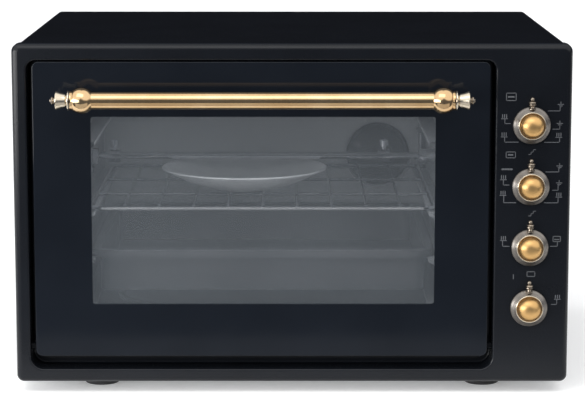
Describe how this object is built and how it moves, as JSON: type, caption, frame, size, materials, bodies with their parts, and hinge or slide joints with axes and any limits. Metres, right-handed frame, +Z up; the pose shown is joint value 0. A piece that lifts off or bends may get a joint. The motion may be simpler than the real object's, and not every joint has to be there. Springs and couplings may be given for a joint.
{
  "type": "countertop rotisserie oven",
  "caption": "Countertop oven with a drop-down glass door, front controls, wire rack, baking tray and a driven spit with forks.",
  "frame": {"origin": "on the surface the feet rest on, under the middle of the whole object", "axes": "+X to the right seen from the front, +Y to the back, +Z up; the door faces -Y"},
  "size_m": [0.6, 0.5302, 0.382],
  "materials": {
    "black_enamel": "satin",
    "galvanised_steel": "dull",
    "dark_coating": "satin",
    "oven_grey": "semi-gloss enamel",
    "bright_wire": "polished",
    "polished_gold": "polished",
    "antique_pewter": "brushed",
    "black_rubber": "matte",
    "grey_silicone": "matte",
    "door_glass": "polished",
    "clear_glass": "polished",
    "ceramic": "glazed",
    "plastic_cream": "matte",
    "element_sheath": "oxidised",
    "aluminium": "spun",
    "copper": "dull"
  },
  "bodies": {
    "cabinet": {"front_frame": "black_enamel", "casing": "black_enamel", "back_panel": "dark_coating", "bottom_plate": "galvanised_steel", "feet": "black_rubber", "oven_liner": "oven_grey", "divider_plate": "galvanised_steel", "upper_element": "element_sheath", "lower_element": "element_sheath", "element_clips": "galvanised_steel", "lamp_glass": "clear_glass", "lamp_socket": "ceramic", "lamp_bulb": "clear_glass", "thermostat_bulb": "bright_wire", "capillary_tube": "copper", "bulb_clips": "galvanised_steel", "selector_switch": "plastic_cream", "thermostat": "galvanised_steel", "spit_switch": "plastic_cream", "timer": "galvanised_steel", "spit_cradle": "bright_wire", "spit_motor": "galvanised_steel", "motor_bracket": "galvanised_steel", "terminal_block": "plastic_cream", "cable_gland": "black_rubber", "back_screws": "bright_wire", "door_gasket": "grey_silicone", "hinge_pins": "bright_wire", "hinge_springs": "bright_wire"},
    "door": {"door_frame": "dark_coating", "door_glass": "door_glass", "door_inner_glass": "clear_glass", "glass_clips": "galvanised_steel", "door_arms": "galvanised_steel", "handle_bar": "polished_gold", "handle_ends": "polished_gold", "handle_posts": "polished_gold", "handle_screws": "bright_wire"},
    "spit": {"spit_rod": "bright_wire", "drive_socket": "bright_wire"},
    "fork_left": {"fork_left": "bright_wire", "fork_left_screw": "bright_wire"},
    "fork_right": {"fork_right": "bright_wire", "fork_right_screw": "bright_wire"},
    "rack": {"wire_rack": "bright_wire", "round_dish": "aluminium"},
    "tray": {"baking_tray": "dark_coating"},
    "knob_1": {"knob_1_body": "antique_pewter", "knob_1_cap": "polished_gold", "knob_1_shaft": "bright_wire"},
    "knob_2": {"knob_2_body": "antique_pewter", "knob_2_cap": "polished_gold", "knob_2_shaft": "bright_wire"},
    "knob_3": {"knob_3_body": "antique_pewter", "knob_3_cap": "polished_gold", "knob_3_shaft": "bright_wire"},
    "knob_4": {"knob_4_body": "antique_pewter", "knob_4_cap": "polished_gold", "knob_4_shaft": "bright_wire"}
  },
  "joints": [
    {"name": "door_hinge", "type": "hinge", "parent": "cabinet", "child": "door", "pos_m": [-0.033, -0.1921, 0.05], "axis": [1, 0, 0], "range_deg": [0, 84]},
    {"name": "spit_spin", "type": "hinge", "parent": "cabinet", "child": "spit", "pos_m": [-0.033, -0.0011, 0.233], "axis": [1, 0, 0], "continuous": true},
    {"name": "fork_left_slide", "type": "slide", "parent": "spit", "child": "fork_left", "axis": [1, 0, 0], "range_m": [0, 0.015]},
    {"name": "fork_right_slide", "type": "slide", "parent": "spit", "child": "fork_right", "axis": [-1, 0, 0], "range_m": [-0.025, 0.024]},
    {"name": "rack_slide", "type": "slide", "parent": "cabinet", "child": "rack", "axis": [0, -1, 0], "range_m": [0, 0.012]},
    {"name": "tray_slide", "type": "slide", "parent": "cabinet", "child": "tray", "axis": [0, -1, 0], "range_m": [0, 0.012]},
    {"name": "knob_1_turn", "type": "hinge", "parent": "cabinet", "child": "knob_1", "pos_m": [0.2565, -0.2101, 0.2947], "axis": [0, 1, 0], "range_deg": [0, 280]},
    {"name": "knob_2_turn", "type": "hinge", "parent": "cabinet", "child": "knob_2", "pos_m": [0.2565, -0.2101, 0.2283], "axis": [0, 1, 0], "range_deg": [0, 300]},
    {"name": "knob_3_turn", "type": "hinge", "parent": "cabinet", "child": "knob_3", "pos_m": [0.2565, -0.2101, 0.1619], "axis": [0, 1, 0], "range_deg": [-90, 90]},
    {"name": "knob_4_turn", "type": "hinge", "parent": "cabinet", "child": "knob_4", "pos_m": [0.2565, -0.2101, 0.0955], "axis": [0, 1, 0], "range_deg": [0, 300]}
  ]
}
